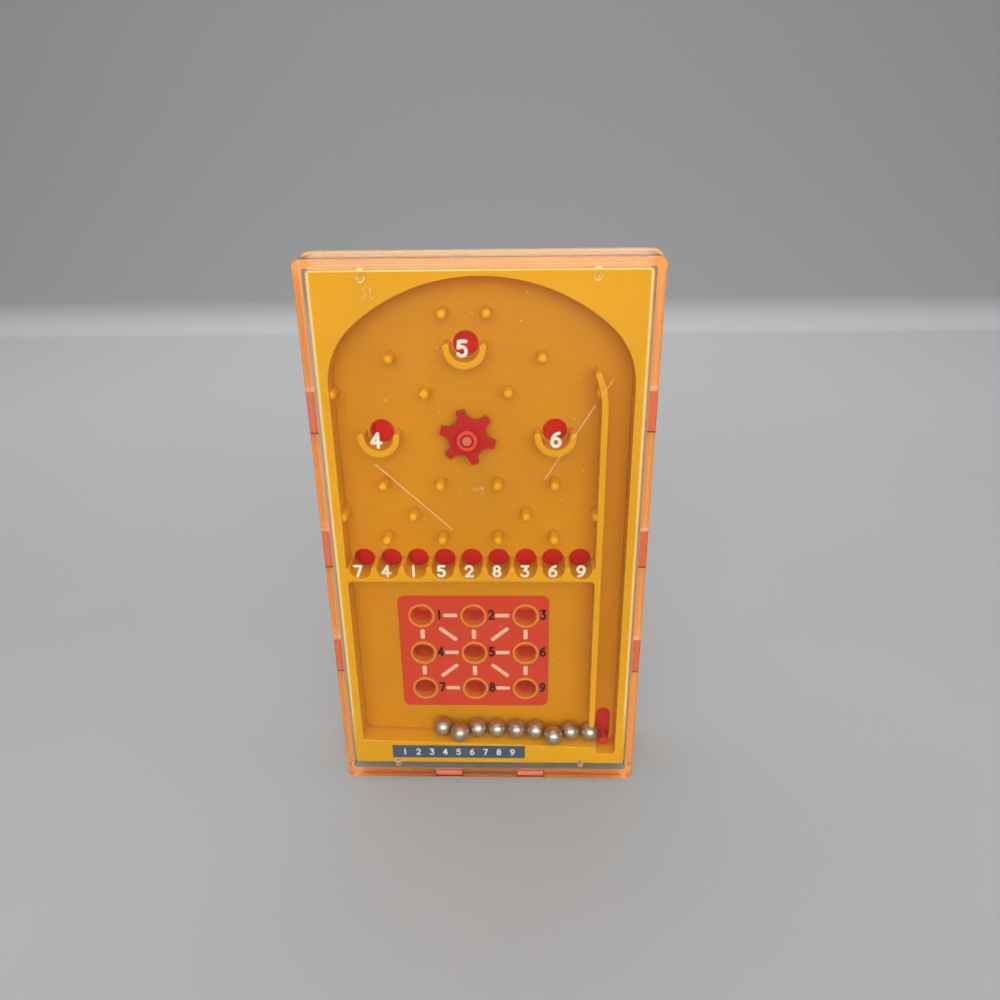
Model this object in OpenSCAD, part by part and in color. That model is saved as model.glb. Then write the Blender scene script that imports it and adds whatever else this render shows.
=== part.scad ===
// Pocket pinball game. A clear front cover and an orange rear case close on a yellow
// playing board, with a red track plate behind it, a star wheel, a launcher and nine balls.
// X runs across, Y from the front (negative) to the back, Z up. Millimetres.
// The seam between cover and case is near Y = 0 and the game stands on Z = 0.

/* [Case] */
// Width of the clear cover over its side walls
cover_w = 70; // [68:0.5:76]
// Height of the clear cover
cover_h = 123.3; // [122.3:0.5:130.3]
// Depth of the clear cover, from its front face to the seam
cover_depth = 9.75; // [9.25:0.25:12]
// Depth of the rear case, from the seam to its back face
case_depth = 9.75; // [9.25:0.25:13]
// Thickness of the cover's flat window
window_t = 1.2; // [0.8:0.1:1.6]
// Thickness of the side and top walls of cover and case
cover_wall = 1.75; // [1.6:0.05:2]
// Thickness of the bottom wall of cover and case
foot_wall = 2.75; // [2.4:0.05:2.9]
// Thickness of the case's back
case_wall = 1.6; // [1.2:0.1:1.8]
// Radius of the four corners
corner_r = 1.3; // [1.2:0.1:2.4]
// Rounding of the front edge of the cover and the back edge of the case
edge_r = 0.8; // [0.5:0.1:1]
// Open seam between the cover's rim and the case
seam_gap = 0.1; // [0.05:0.05:0.2]
// How far the rim at the seam stands proud of cover and case
lip_out = 0.65; // [0.4:0.05:1]
// Width of each half of that rim
lip_depth = 1.05; // [0.8:0.05:1.4]
// Length of each side clip that ties the case to the cover
clip_w = 8.5; // [6:0.5:9]
// Length of the two clips at the bottom
foot_clip_w = 6.5; // [5:0.5:8]
// How far a clip reaches forward into the cover's wall
clip_reach = 4; // [3:0.25:5]
// Height of the middle clip of each side
clip_z = 61.6; // [59:0.1:64]
// Distance from the middle clip to the upper one
clip_rise = 31.2; // [28:0.2:33]
// Distance from the middle clip to the lower one
clip_drop = 27.6; // [25:0.2:30]
// Distance between the two clips at the bottom
foot_clip_gap = 20.4; // [16:0.2:26]

/* [Board] */
// Gap between the board and the cover's side walls
board_gap = 0.3; // [0.2:0.05:0.5]
// Gap between the board and the cover's top wall
end_gap = 0.6; // [0.3:0.05:0.8]
// Gap between the board and the cover's bottom wall
foot_gap = 0.9; // [0.7:0.05:1.1]
// Gap between the window and the board's front face
window_gap = 1.1; // [0.9:0.1:1.4]
// Depth of the playing recess
recess_depth = 5.5; // [5.3:0.1:6]
// Thickness of the board's floor
floor_t = 1.4; // [1.2:0.1:1.8]
// Width of the raised border at each side of the recess
border_w = 2.25; // [1.9:0.05:2.7]
// Width of the raised border over the crown of the arch
crown_border = 1.15; // [1:0.05:1.6]
// Height of the arch above the straight sides
arch_rise = 21.5; // [20:0.5:23]
// Radius of the two side arcs of the arch
arch_side_r = 16; // [14:0.5:18]
// Thickness of the divider between field and ball lane
divider_t = 1.3; // [1.1:0.1:1.5]
// Height of the divider's lower end
divider_low_z = 14.5; // [14.1:0.1:15.3]
// How far under the arch the divider starts to curl to the left
curl_drop = 4.9; // [3:0.1:6]
// Radius of the divider's curl
curl_r = 18; // [15:0.2:20]
// Angle through which the divider curls
curl_angle = 23.5; // [20:0.5:27]
// Height of the lane's floor
lane_floor_z = 6.5; // [6.3:0.1:6.8]
// Height of the ball trough's floor at the lane
trough_z = 8.35; // [8.2:0.05:8.6]
// Slope of the ball trough down to the lane, in degrees
trough_slope = 2; // [1:0.1:2.2]
// Height of the small sill that keeps the balls out of the lane
sill_h = 0.25; // [0.2:0.05:0.4]
// Thickness of that sill
sill_t = 0.4; // [0.3:0.05:0.45]
// Distance of that sill from the lane's left side
sill_in = 0.3; // [0.2:0.05:0.35]
// Rounding of the compartments' corners
recess_r = 1; // [0.6:0.1:1.5]

/* [Holes and pins] */
// Height of the row of nine holes
pocket_z = 57.4; // [56.8:0.1:58]
// Wall under the row of holes, at its thinnest
pocket_floor_t = 0.65; // [0.5:0.05:0.9]
// Height of the upper middle cup, as a share of the way from the nine holes to the crown
cup_top_share = 0.78; // [0.76:0.01:0.8]
// Height of the two side cups, as the same share
cup_side_share = 0.484; // [0.464:0.005:0.504]
// Thickness of a cup's wall
cup_wall = 1.35; // [1:0.05:1.6]
// How far cups and pins stand out of the recess floor
cup_h = 4.5; // [4:0.1:4.9]
// Diameter of the pins
pin_d = 2.1; // [1.8:0.1:2.3]
// Length of the pins
pin_h = 4.8; // [4.2:0.1:5.1]
// Diameter of the cover's locating pegs
peg_d = 1.4; // [1.2:0.1:1.6]
// Distance of the pegs from the middle of the board
peg_x = 22.4; // [20:0.1:24]
// Distance of the two upper pegs from the board's top edge
peg_top_edge = 1.3; // [1.1:0.05:2]
// Distance of the two lower pegs from the board's bottom edge
peg_foot_edge = 0.45; // [0.3:0.05:0.55]

/* [Score panel] */
// Width of the printed score panel
panel_w = 35.4; // [34:0.1:37]
// Height of the printed score panel
panel_h = 30.9; // [30:0.1:32]
// Height of the middle of the score panel
panel_z = 32.2; // [31.8:0.1:32.8]
// Vertical distance between the panel's windows
panel_row = 10.25; // [10:0.05:10.5]
// Width of the raised rim around each window
rim_t = 0.5; // [0.4:0.05:0.7]
// How far the rims stand out of the recess floor
rim_h = 0.5; // [0.3:0.05:0.7]
// Thickness of the printed panel and strip
print_t = 0.15; // [0.1:0.01:0.2]
// Length of the strip under the trough
strip_w = 32.5; // [30:0.1:34]
// Height of the strip under the trough
strip_h = 3.6; // [3:0.1:3.8]
// Distance of the strip from the middle of the field
strip_shift = 4.2; // [3:0.1:6]

/* [Balls] */
// Diameter of the steel balls
ball_d = 4.5; // [4.3:0.05:4.6]
// Running gap around a ball at rest
ball_gap = 0.1; // [0.08:0.01:0.15]
// Gap between two neighbouring balls
ball_spacing = 0.22; // [0.1:0.01:0.3]
// How much wider the ball lane is than a ball
lane_clear = 0.7; // [0.5:0.05:0.9]
// How much wider the nine holes are than a ball
pocket_clear = 0.35; // [0.25:0.05:0.5]
// How much wider the cup holes and panel windows are than a ball
window_clear = 0.7; // [0.5:0.05:0.8]
// How much wider and deeper the tracks behind the board are than a ball
track_clear = 0.4; // [0.3:0.05:0.5]

/* [Track plate] */
// Thickness of the track plate's floor
track_floor_t = 1.2; // [1:0.1:1.5]
// Thickness of the walls between the tracks
track_wall = 1; // [0.8:0.05:1.1]
// Slope of the side legs of the tracks, in degrees
leg_slope = 17; // [12:0.5:20]

/* [Star wheel] */
// Height of the wheel's axis, as a share of the way from the nine holes to the crown
wheel_share = 0.47; // [0.46:0.002:0.486]
// Radius over the wheel's six tips
wheel_r = 5.95; // [5.6:0.05:6.2]
// Radius of the valleys between the tips
wheel_valley_r = 3.95; // [3.6:0.05:4.1]
// Width of a tip
wheel_tip_w = 1.85; // [1.4:0.05:2]
// Angle of the first tip, in degrees
wheel_turn = 104; // [90:0.5:110]
// Thickness of the wheel's arms
wheel_t = 1.6; // [1.3:0.1:1.8]
// Diameter of the wheel's hub
hub_d = 4.3; // [4:0.1:4.6]
// Height of the hub in front of the arms
hub_h = 1.9; // [1.4:0.1:2]
// Height of the boss on the board that the wheel turns against
boss_h = 0.8; // [0.4:0.1:1]
// Diameter of the axle pin
axle_d = 2; // [1.8:0.05:2.1]
// Running clearance around the axle pin, on the radius
axle_clear = 0.06; // [0.03:0.01:0.1]
// Gap between the wheel and that boss
wheel_gap = 0.2; // [0.15:0.05:0.3]
// Diameter of the collar that holds the axle behind the board
collar_d = 4.6; // [4.2:0.1:4.8]
// Length of that collar
collar_h = 2.4; // [2:0.1:3]

/* [Launcher] */
// Width of the launcher's nose
nose_w = 2.2; // [2:0.1:2.4]
// Height of the launcher's nose
nose_h = 2.2; // [2:0.1:2.4]
// How far the nose stands into the lane
nose_out = 2.2; // [2:0.1:2.8]
// How far the nose stands to the right of the lane's middle
nose_shift = 0.2; // [0.1:0.05:0.2]
// Width of the slot that the nose moves in
slot_w = 3.5; // [3.2:0.1:3.7]
// Travel of the launcher, upwards
launch_travel = 6; // [5:0.25:6.5]
// Width of the slider behind the slot
slider_w = 4.4; // [4.2:0.1:4.6]
// Thickness of the slider's face
slider_t = 1.5; // [1.3:0.1:1.7]
// Running gap around the slider
slide_gap = 0.2; // [0.15:0.05:0.3]
// Outer diameter of the return spring
spring_d = 3.2; // [3:0.1:3.4]
// Wire diameter of the return spring
wire_d = 0.4; // [0.35:0.05:0.45]
// Length of the fitted return spring
spring_len = 14; // [13:0.5:16]
// Turns of the return spring
spring_turns = 8; // [6:1:9]
// Height of the arm that the spring stands on
arm_h = 3.4; // [3:0.1:3.8]
// Width of the stem that carries the thumb button
stem_w = 2.2; // [1.8:0.1:2.6]
// Width of the thumb button, front to back
button_w = 4.6; // [4.2:0.1:4.8]
// Length of the thumb button along its travel
button_len = 7; // [6:0.25:8]
// Depth of the thumb well in the side of the case
well_depth = 2; // [1.8:0.1:2.2]

/* [Hidden] */
$fn = 48;
eps = 0.01;

// Depth planes, front to back
seam_y = (cover_depth - case_depth) / 2;
front_y = seam_y - cover_depth;
window_y = front_y + window_t;
board_y = window_y + window_gap;
floor_y = board_y + recess_depth;
board_back_y = floor_y + floor_t;
track_depth = ball_d + track_clear;
track_floor_y = board_back_y + track_depth;
track_back_y = track_floor_y + track_floor_t;
back_y = seam_y + case_depth;
case_inner_y = back_y - case_wall;

// Outlines, seen from the front
rim_w = cover_w + 2 * lip_out;
rim_h_all = cover_h + lip_out;
inner_w = cover_w - 2 * cover_wall;
board_w = inner_w - 2 * board_gap;
board_low_z = foot_wall + foot_gap;
board_top_z = cover_h - cover_wall - end_gap;
inner_r = 0.6;
cover_back_y = seam_y - seam_gap;
clip_gap = 0.15;
peg_gap = 0.05;
// How far ribs run into the wall that they stand on
wall_bite = 0.2;

// Playing field
field_left = -board_w / 2 + border_w;
field_right = -field_left;
lane_w = ball_d + lane_clear;
lane_left = field_right - lane_w;
lane_x = field_right - lane_w / 2;
divider_x = lane_left - divider_t;
pitch = (divider_x - field_left) / 9;
field_x = (divider_x + field_left) / 2;
cup_x = 3 * pitch;

// Arch of two side arcs and one top arc that meet without a corner
arch_top_z = board_top_z - crown_border;
arch_z = arch_top_z - arch_rise;
curl_z = arch_z - curl_drop;
arch_side_x = field_right - arch_side_r;
arch_drop = (pow(arch_side_x, 2) - pow(arch_rise - arch_side_r, 2)) / (2 * (arch_rise - arch_side_r));
arch_top_r = arch_rise + arch_drop;
arch_top_c = arch_z - arch_drop;
arch_joint = atan2(arch_drop, arch_side_x);

// Holes
pocket_r = (ball_d + pocket_clear) / 2;
window_r = (ball_d + window_clear) / 2;
track_w = ball_d + track_clear;
cup_inner_r = window_r + 0.4;
field_low_z = pocket_z - pocket_r - pocket_floor_t;
trough_left_z = trough_z + (lane_left - field_left) * tan(trough_slope);
function trough_at(x) = trough_z + (lane_left - x) * tan(trough_slope);

// Heights in the upper field are shares of the way from the row of holes to the crown
field_h = arch_top_z - pocket_z;
wheel_z = pocket_z + wheel_share * field_h;
cup_side_z = pocket_z + cup_side_share * field_h;
cup_top_z = pocket_z + cup_top_share * field_h;
wheel_back_y = floor_y - boss_h - wheel_gap;
wheel_front_y = wheel_back_y - wheel_t - hub_h;

// Rows of pins: that share, then places counted in hole pitches from the middle of the field
pin_rows = [
    [0.1, [-3, -1, 1, 3]],
    [0.19, [-4.5, -2, 2, 4.5]],
    [0.304, [-3, -1, 1, 3]],
    [0.626, [-4.5, -1.4, 1.4, 4.5]],
    [0.741, [-2.52, 2.52]],
    [0.882, [-0.72, 0.72]]
];

// Tracks: hole counted in pitches from the middle, then the panel window that it feeds
track_ends = [
    [-4, -1, -1], [-3, -1, 0], [-2, -1, 1],
    [-1, 0, 0], [0, 0, 1], [1, 0, -1],
    [2, 1, 1], [3, 1, 0], [4, 1, -1]
];
window_step = 2 * pitch;
// How much wider a track is at its two ends, and the plate's edge around its walls
track_end_grow = 0.05;
plate_edge = 0.3;

// Balls in the trough: 1 leans against the window, 0 lies against the recess floor
ball_front = [0, 1, 0, 0, 0, 0, 1, 0, 0];
ball_y_back = floor_y - ball_d / 2 - ball_gap;
ball_y_front = window_y + ball_d / 2 + ball_gap;
ball_step = ball_d + ball_spacing;
ball_row_gap = ball_y_back - ball_y_front;
function ball_y(i) = ball_front[i] == 1 ? ball_y_front : ball_y_back;
function ball_run(i) = ball_front[i] == ball_front[i + 1] ? ball_step
    : sqrt(pow(ball_step, 2) - pow(ball_row_gap, 2));
function ball_u(i) = i == 8 ? 0 : ball_u(i + 1) - ball_run(i);

// Launcher: nose, slider behind the slot, arm under the spring, stem to the thumb button
nose_low_z = lane_floor_z + 0.1;
nose_y = floor_y - nose_out;
nose_r = 0.95 * min(nose_w, nose_h) / 2;
slot_top_z = nose_low_z + nose_h + launch_travel + 1.3;
slider_y = board_back_y + slide_gap;
slider_back_y = slider_y + slider_t;
slider_low_z = nose_low_z - 1.6;
slider_top_z = slot_top_z + 1;
arm_low_z = nose_low_z + 4.1;
arm_top_z = arm_low_z + arm_h;
well_y = seam_y + 1.4;
well_w = button_w + 0.8;
button_y = well_y + well_w / 2;
stem_low_z = arm_low_z + 0.3;
stem_h = arm_h - 0.6;
arm_back_y = button_y + stem_w / 2;
spring_y = (slider_back_y + arm_back_y) / 2;
spring_top_z = arm_top_z + spring_len;
button_low_z = arm_low_z + arm_h / 2 - button_len / 2;
well_x = cover_w / 2 - well_depth;
well_low_z = button_low_z - 1;
well_top_z = button_low_z + button_len + launch_travel + 1;
well_wall = 1.1;
button_x = well_x + 0.2;
button_t = well_depth - 0.4;
socket_depth = button_t / 2;

// Slot of the stem in the well's wall, and the shutter on the stem that keeps it closed
stem_slot_w = stem_w + 2 * slide_gap;
stem_slot_low_z = stem_low_z - slide_gap;
stem_slot_top_z = stem_low_z + stem_h + launch_travel + slide_gap;
shutter_t = 1.2;
shutter_x = well_x - well_wall - slide_gap - shutter_t;
shutter_over = 0.5;
shutter_y = button_y - stem_slot_w / 2;
shutter_low_z = stem_slot_low_z - launch_travel - shutter_over;
guide_y = board_back_y + 0.1;
guide_x = slider_w / 2 + slide_gap;
guide_t = 0.8;
shelf_t = 1.2;
seat_d = spring_d - 2 * wire_d - 0.5;
seat_h = 1.2;

// The last ball stands against the sill
sill_x = lane_left + sill_in;
ball_reach = ball_d / 2 + ball_gap;
ball_end_x = sill_x - sqrt(pow(ball_reach, 2) - pow(ball_reach - sill_h, 2));

// Spring: a helix with a short straight end at each seat, as rings of six points
coil_r = (spring_d - wire_d) / 2;
coil_rings = 8;
coil_sides = 6;
coil_count = coil_rings * spring_turns;
coil_rise = (spring_len - 2 * wire_d) / coil_count;
function coil_turn(k) = 360 * min(max(k - 1, 0), coil_count) / coil_rings;
function coil_height(k) = k == 0 ? 0 : k > coil_count + 1 ? spring_len : wire_d + (k - 1) * coil_rise;
function coil_point(k) = [coil_r * cos(coil_turn(k)), coil_r * sin(coil_turn(k)), coil_height(k)];
function unit(v) = v / norm(v);
function coil_slope(k) = [-coil_r * sin(coil_turn(k)) * 2 * PI / coil_rings,
    coil_r * cos(coil_turn(k)) * 2 * PI / coil_rings, coil_rise];
function coil_way(k) = k == 0 || k > coil_count + 1 ? [0, 0, 1]
    : k == 1 || k == coil_count + 1 ? unit(unit(coil_slope(k)) + [0, 0, 1]) : unit(coil_slope(k));
function coil_ring(k) =
    let (out = [cos(coil_turn(k)), sin(coil_turn(k)), 0], side = cross(coil_way(k), out))
    [for (j = [0 : coil_sides - 1])
        coil_point(k) + wire_d / 2 * (cos(360 * j / coil_sides) * out + sin(360 * j / coil_sides) * side)];
coil_last = coil_count + 2;
coil_gap = min([for (i = [0 : coil_last - coil_rings / 2 - 1], j = [i + coil_rings / 2 + 1 : coil_last])
    norm(coil_point(i) - coil_point(j))]) - wire_d;
echo(least_gap_between_turns = coil_gap);

// Lays a drawing made in X and Z between two depths
module slab(y0, y1) {
    translate([0, y1, 0]) rotate([90, 0, 0]) linear_extrude(y1 - y0) children();
}

module round_rect(w, h, r) {
    square([w - 2 * r, h], center = true);
    square([w, h - 2 * r], center = true);
    for (sx = [-1, 1], sz = [-1, 1])
        translate([sx * (w / 2 - r), sz * (h / 2 - r)]) circle(r);
}

module standing_rect(w, z0, z1, r) {
    translate([0, (z0 + z1) / 2]) round_rect(w, z1 - z0, r);
}

// Section of a bar of width w and depth d, with its two outer edges rounded
module bar_profile(w, d, e) {
    translate([-w / 2, 0]) square([w, d - e]);
    translate([-w / 2 + e, 0]) square([w - 2 * e, d]);
    for (sx = [-1, 1]) translate([sx * (w / 2 - e), d - e]) circle(e);
}

// Round corner with the same edge as the bars
module corner_puck(r, d, e) {
    rotate_extrude() {
        square([r, d - e]);
        square([r - e, d]);
        translate([r - e, d - e]) intersection() {
            circle(e);
            square(e);
        }
    }
}

// Block between two depths with one rim rounded, the front one for dir -1 and the back one for 1
module rounded_shell(w, h, r, e, y0, y1, dir) {
    d = y1 - y0;
    translate([0, dir < 0 ? y1 : y0, 0]) rotate([-90 * dir, 0, 0]) {
        for (sx = [-1, 1], z = [r, h - r])
            translate([sx * (w / 2 - r), -dir * z, 0]) corner_puck(r, d, e);
        translate([0, dir < 0 ? h - r : -r, 0]) rotate([90, 0, 0])
            linear_extrude(h - 2 * r) bar_profile(w, d, e);
        translate([w / 2 - r, -dir * h / 2, 0]) rotate([90, 0, -90])
            linear_extrude(w - 2 * r) bar_profile(h, d, e);
    }
}

// Heights of the clips of one side
function clip_heights() = [clip_z - clip_drop, clip_z, clip_z + clip_rise];

// Notches in the cover's walls, and the clips themselves where grow is below zero
module clip_area(grow, x0, x1, z0, z1) {
    for (sx = [-1, 1], z = clip_heights())
        translate([sx * (x0 + x1) / 2, z]) square([x1 - x0, clip_w + 2 * grow], center = true);
    for (sx = [-1, 1])
        translate([sx * foot_clip_gap / 2, (z0 + z1) / 2])
            square([foot_clip_w + 2 * grow, z1 - z0], center = true);
}

// Rim at the seam: it runs up both sides and over the top, and the foot stays flush to stand on
module lip_area() {
    r = corner_r + lip_out;
    intersection() {
        standing_rect(rim_w, -rim_h_all, rim_h_all, r);
        translate([-rim_w, 1.5 * r]) square([2 * rim_w, rim_h_all]);
    }
}

module front_cover() {
    color([0.93, 0.95, 0.96, 0.35]) {
        difference() {
            union() {
                rounded_shell(cover_w, cover_h, corner_r, edge_r, front_y, cover_back_y, -1);
                slab(seam_y - lip_depth, cover_back_y) lip_area();
            }
            slab(window_y, seam_y) standing_rect(inner_w, foot_wall, cover_h - cover_wall, inner_r);
            slab(seam_y - clip_reach - clip_gap, seam_y)
                clip_area(clip_gap, inner_w / 2 - 0.1, rim_w / 2 + 0.1, -0.1, cover_wall + 0.1);
        }
        for (sx = [-1, 1], z = [board_low_z + peg_foot_edge, board_top_z - peg_top_edge])
            translate([sx * peg_x, board_y - peg_gap, z]) rotate([90, 0, 0])
                cylinder(d = peg_d, h = window_gap - peg_gap + 0.3, $fn = 32);
    }
}

// Outline of the arch and the straight sides, grown outwards by g
module arch_area(g, low_z) {
    a = field_right + g;
    jx = arch_side_x + (arch_side_r + g) * cos(arch_joint);
    jz = arch_z + (arch_side_r + g) * sin(arch_joint);
    far = 2 * arch_top_r;
    translate([-a, low_z]) square([2 * a, arch_z - low_z]);
    polygon([[-a, arch_z - eps], [a, arch_z - eps], [jx, jz], [-jx, jz]]);
    for (sx = [-1, 1])
        translate([sx * arch_side_x, arch_z]) circle(arch_side_r + g, $fn = 96);
    intersection() {
        translate([0, arch_top_c]) circle(arch_top_r + g, $fn = 180);
        polygon([
            [0, arch_top_c],
            [far * cos(arch_joint), arch_top_c + far * sin(arch_joint)],
            [-far * cos(arch_joint), arch_top_c + far * sin(arch_joint)]
        ]);
    }
}

// Upper field down to the tops of the pocket walls, and the pockets themselves
module field_area() {
    intersection() {
        arch_area(0, pocket_z);
        translate([-rim_w / 2, pocket_z]) square([rim_w, cover_h]);
    }
    for (i = [-4 : 4])
        translate([field_x + i * pitch, pocket_z]) circle(pocket_r);
}

// Ball lane, with the well of the launcher's nose at its foot
module lane_area() {
    well_x0 = sill_x + sill_t;
    well_w = field_right - well_x0;
    translate([lane_left, trough_z]) square([lane_w, arch_z - trough_z]);
    translate([well_x0, lane_floor_z + recess_r])
        square([well_w, trough_z - lane_floor_z - recess_r + eps]);
    translate([well_x0 + recess_r, lane_floor_z]) square([well_w - 2 * recess_r, recess_r + eps]);
    for (x = [well_x0 + recess_r, field_right - recess_r])
        translate([x, lane_floor_z + recess_r]) circle(recess_r);
}

// Compartment of the score panel, with the sloping ball trough as its floor
module trough_area() {
    translate([field_left, trough_left_z + recess_r])
        square([divider_x - field_left, field_low_z - trough_left_z - 2 * recess_r]);
    translate([field_left + recess_r, field_low_z - recess_r - eps])
        square([divider_x - field_left - 2 * recess_r, recess_r + eps]);
    for (x = [field_left + recess_r, divider_x - recess_r])
        translate([x, field_low_z - recess_r]) circle(recess_r);
    polygon([
        [field_left, trough_left_z],
        [lane_left + eps, trough_z],
        [lane_left + eps, divider_low_z + divider_t / 2],
        [divider_x, divider_low_z + divider_t / 2],
        [divider_x, trough_left_z + recess_r + eps],
        [field_left, trough_left_z + recess_r + eps]
    ]);
}

module divider_curl() {
    cx = lane_left - divider_t / 2 - curl_r;
    intersection() {
        translate([cx, curl_z]) difference() {
            circle(curl_r + divider_t / 2, $fn = 120);
            circle(curl_r - divider_t / 2, $fn = 120);
        }
        translate([cx, curl_z])
            polygon([[0, 0], [2 * curl_r, 0], [2 * curl_r * cos(curl_angle), 2 * curl_r * sin(curl_angle)]]);
    }
    translate([cx + curl_r * cos(curl_angle), curl_z + curl_r * sin(curl_angle)]) circle(divider_t / 2);
}

module divider_area() {
    translate([divider_x, divider_low_z + divider_t / 2])
        square([divider_t, curl_z - divider_low_z - divider_t / 2]);
    translate([divider_x + divider_t / 2, divider_low_z + divider_t / 2]) circle(divider_t / 2);
    divider_curl();
}

// Walls between the nine pockets end in half rounds
module pocket_walls() {
    wall = pitch - 2 * pocket_r;
    for (i = [-4 : 3])
        translate([field_x + (i + 0.5) * pitch, pocket_z]) {
            translate([-wall / 2, -pocket_r]) square([wall, pocket_r]);
            circle(wall / 2, $fn = 24);
        }
}

module pin() {
    rotate([90, 0, 0]) {
        cylinder(d = pin_d, h = pin_h - pin_d / 2, $fn = 32);
        translate([0, 0, pin_h - pin_d / 2]) sphere(d = pin_d, $fn = 32);
    }
}

module cup(x, z) {
    outer_r = cup_inner_r + cup_wall;
    mid_r = cup_inner_r + cup_wall / 2;
    slab(floor_y - cup_h, floor_y + eps) translate([x, z]) {
        difference() {
            circle(outer_r, $fn = 64);
            circle(cup_inner_r, $fn = 64);
            translate([-2 * outer_r, 0]) square([4 * outer_r, 2 * outer_r]);
        }
        for (sx = [-1, 1]) translate([sx * mid_r, 0]) circle(cup_wall / 2, $fn = 24);
    }
}

function panel_places() = [for (i = [-1 : 1], k = [-1 : 1]) [field_x + i * window_step, panel_z + k * panel_row]];
function cup_places() = [[field_x - cup_x, cup_side_z], [field_x, cup_top_z], [field_x + cup_x, cup_side_z]];

module playfield() {
    color([0.95, 0.69, 0.13]) {
        difference() {
            union() {
                difference() {
                    slab(board_y, board_back_y) standing_rect(board_w, board_low_z, board_top_z, inner_r);
                    slab(board_y - 1, floor_y) {
                        field_area();
                        lane_area();
                        trough_area();
                    }
                    // The corners above the arch are hollow from behind
                    slab(board_y + floor_t, board_back_y + 1) difference() {
                        translate([-board_w / 2 + floor_t, arch_z])
                            square([board_w - 2 * floor_t, board_top_z - floor_t - arch_z]);
                        arch_area(floor_t, pocket_z);
                    }
                }
                slab(board_y, floor_y + eps) divider_area();
                slab(board_y, floor_y + eps) pocket_walls();
                slab(board_y, floor_y + eps) translate([sill_x, trough_z - eps])
                    square([sill_t, sill_h + eps]);
                for (p = cup_places()) cup(p[0], p[1]);
                for (row = pin_rows, k = row[1])
                    translate([field_x + k * pitch, floor_y + eps, pocket_z + row[0] * field_h]) pin();
                for (p = panel_places())
                    slab(floor_y - rim_h, floor_y + eps) translate(p) circle(window_r + rim_t);
                slab(board_back_y - eps, board_back_y + collar_h) translate([field_x, wheel_z]) circle(collar_d / 2);
                slab(floor_y - boss_h, floor_y + eps) translate([field_x, wheel_z]) circle(hub_d / 2);
                for (sx = [-1, 1])
                    slab(board_y, board_y + 2) translate([sx * peg_x - 0.65, board_top_z - eps])
                        square([1.3, end_gap - peg_gap + eps]);
            }
            for (i = [-4 : 4])
                slab(floor_y - 1, board_back_y + 1) translate([field_x + i * pitch, pocket_z]) circle(pocket_r);
            for (p = concat(cup_places(), panel_places()))
                slab(floor_y - 1, board_back_y + 1) translate(p) circle(window_r);
            slab(floor_y - 1, board_back_y + 1) {
                translate([lane_x - slot_w / 2, lane_floor_z + slot_w / 2])
                    square([slot_w, slot_top_z - lane_floor_z - slot_w]);
                for (z = [lane_floor_z + slot_w / 2, slot_top_z - slot_w / 2])
                    translate([lane_x, z]) circle(slot_w / 2);
            }
            slab(floor_y - boss_h - 1, board_back_y + collar_h + 1)
                translate([field_x, wheel_z]) circle(axle_d / 2);
        }
    }
}

// Track of each hole: from its cup or pocket down its own column, then along a sloping leg to its window
function track_top(k, x) = abs(k) == 3 ? [[x, cup_side_z]]
    : k == -1 ? [[field_x, cup_top_z], [x, cup_top_z - abs(x - field_x) * tan(leg_slope)]]
    : [[x, pocket_z]];
function track_bend(x, end) = [[x, end[1] + abs(x - end[0]) * tan(leg_slope)]];
function track_route(t) =
    let (x = field_x + t[0] * pitch)
    let (end = [field_x + t[1] * window_step, panel_z + t[2] * panel_row])
    concat(track_top(t[0], x), t[0] == 2 * t[1] ? [] : track_bend(x, end), [end]);

// Edge point i of a route, at distance s to its left, with the corners mitred
function left_of(v) = [-v[1], v[0]];
function edge_point(route, i, s) =
    let (last = len(route) - 1)
    let (before = left_of(unit(i == 0 ? route[1] - route[0] : route[i] - route[i - 1])))
    let (after = left_of(unit(i == last ? route[i] - route[i - 1] : route[i + 1] - route[i])))
    route[i] + (before + after) * s / (1 + before * after);

module all_tracks(w) {
    for (t = track_ends) {
        route = track_route(t);
        last = len(route) - 1;
        polygon(concat(
            [for (i = [0 : last]) edge_point(route, i, w / 2)],
            [for (i = [last : -1 : 0]) edge_point(route, i, -w / 2)]
        ));
        for (p = [route[0], route[last]]) translate(p) circle(w / 2 + track_end_grow);
    }
}

module track_plate() {
    wall_w = track_w + 2 * track_wall;
    left = field_x - 4 * pitch - wall_w / 2 - plate_edge;
    right = field_x + 4 * pitch + wall_w / 2 + plate_edge;
    low = panel_z - panel_row - wall_w / 2 - plate_edge;
    top = pocket_z + wall_w / 2 + plate_edge;
    color([0.80, 0.13, 0.10]) difference() {
        union() {
            slab(track_floor_y, track_back_y) translate([left, low]) square([right - left, top - low]);
            slab(board_back_y, track_back_y) all_tracks(wall_w);
        }
        slab(board_back_y - 1, track_floor_y) all_tracks(track_w);
    }
}

// Ribs that stand on the back wall up to depth y, over one rectangle seen from the front
module back_rib(x, z, w, h, y) {
    slab(y, case_inner_y + eps) translate([x, z]) square([w, h]);
}

// Ribs and posts that hold the track plate against the board
module plate_supports() {
    for (i = [-1, 1])
        back_rib(field_x + i * window_step - 0.6, panel_z - panel_row, 1.2, pocket_z - panel_z + panel_row, track_back_y);
    for (z = [panel_z - panel_row / 2, pocket_z - 10])
        back_rib(field_x - 4 * pitch, z, 8 * pitch, 1.2, track_back_y);
    for (p = [[field_x - cup_x, cup_side_z], [field_x + cup_x, cup_side_z], [field_x - pitch / 2, cup_top_z - 1]])
        slab(track_back_y, case_inner_y + eps) translate(p) circle(1.5, $fn = 24);
}

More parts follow.
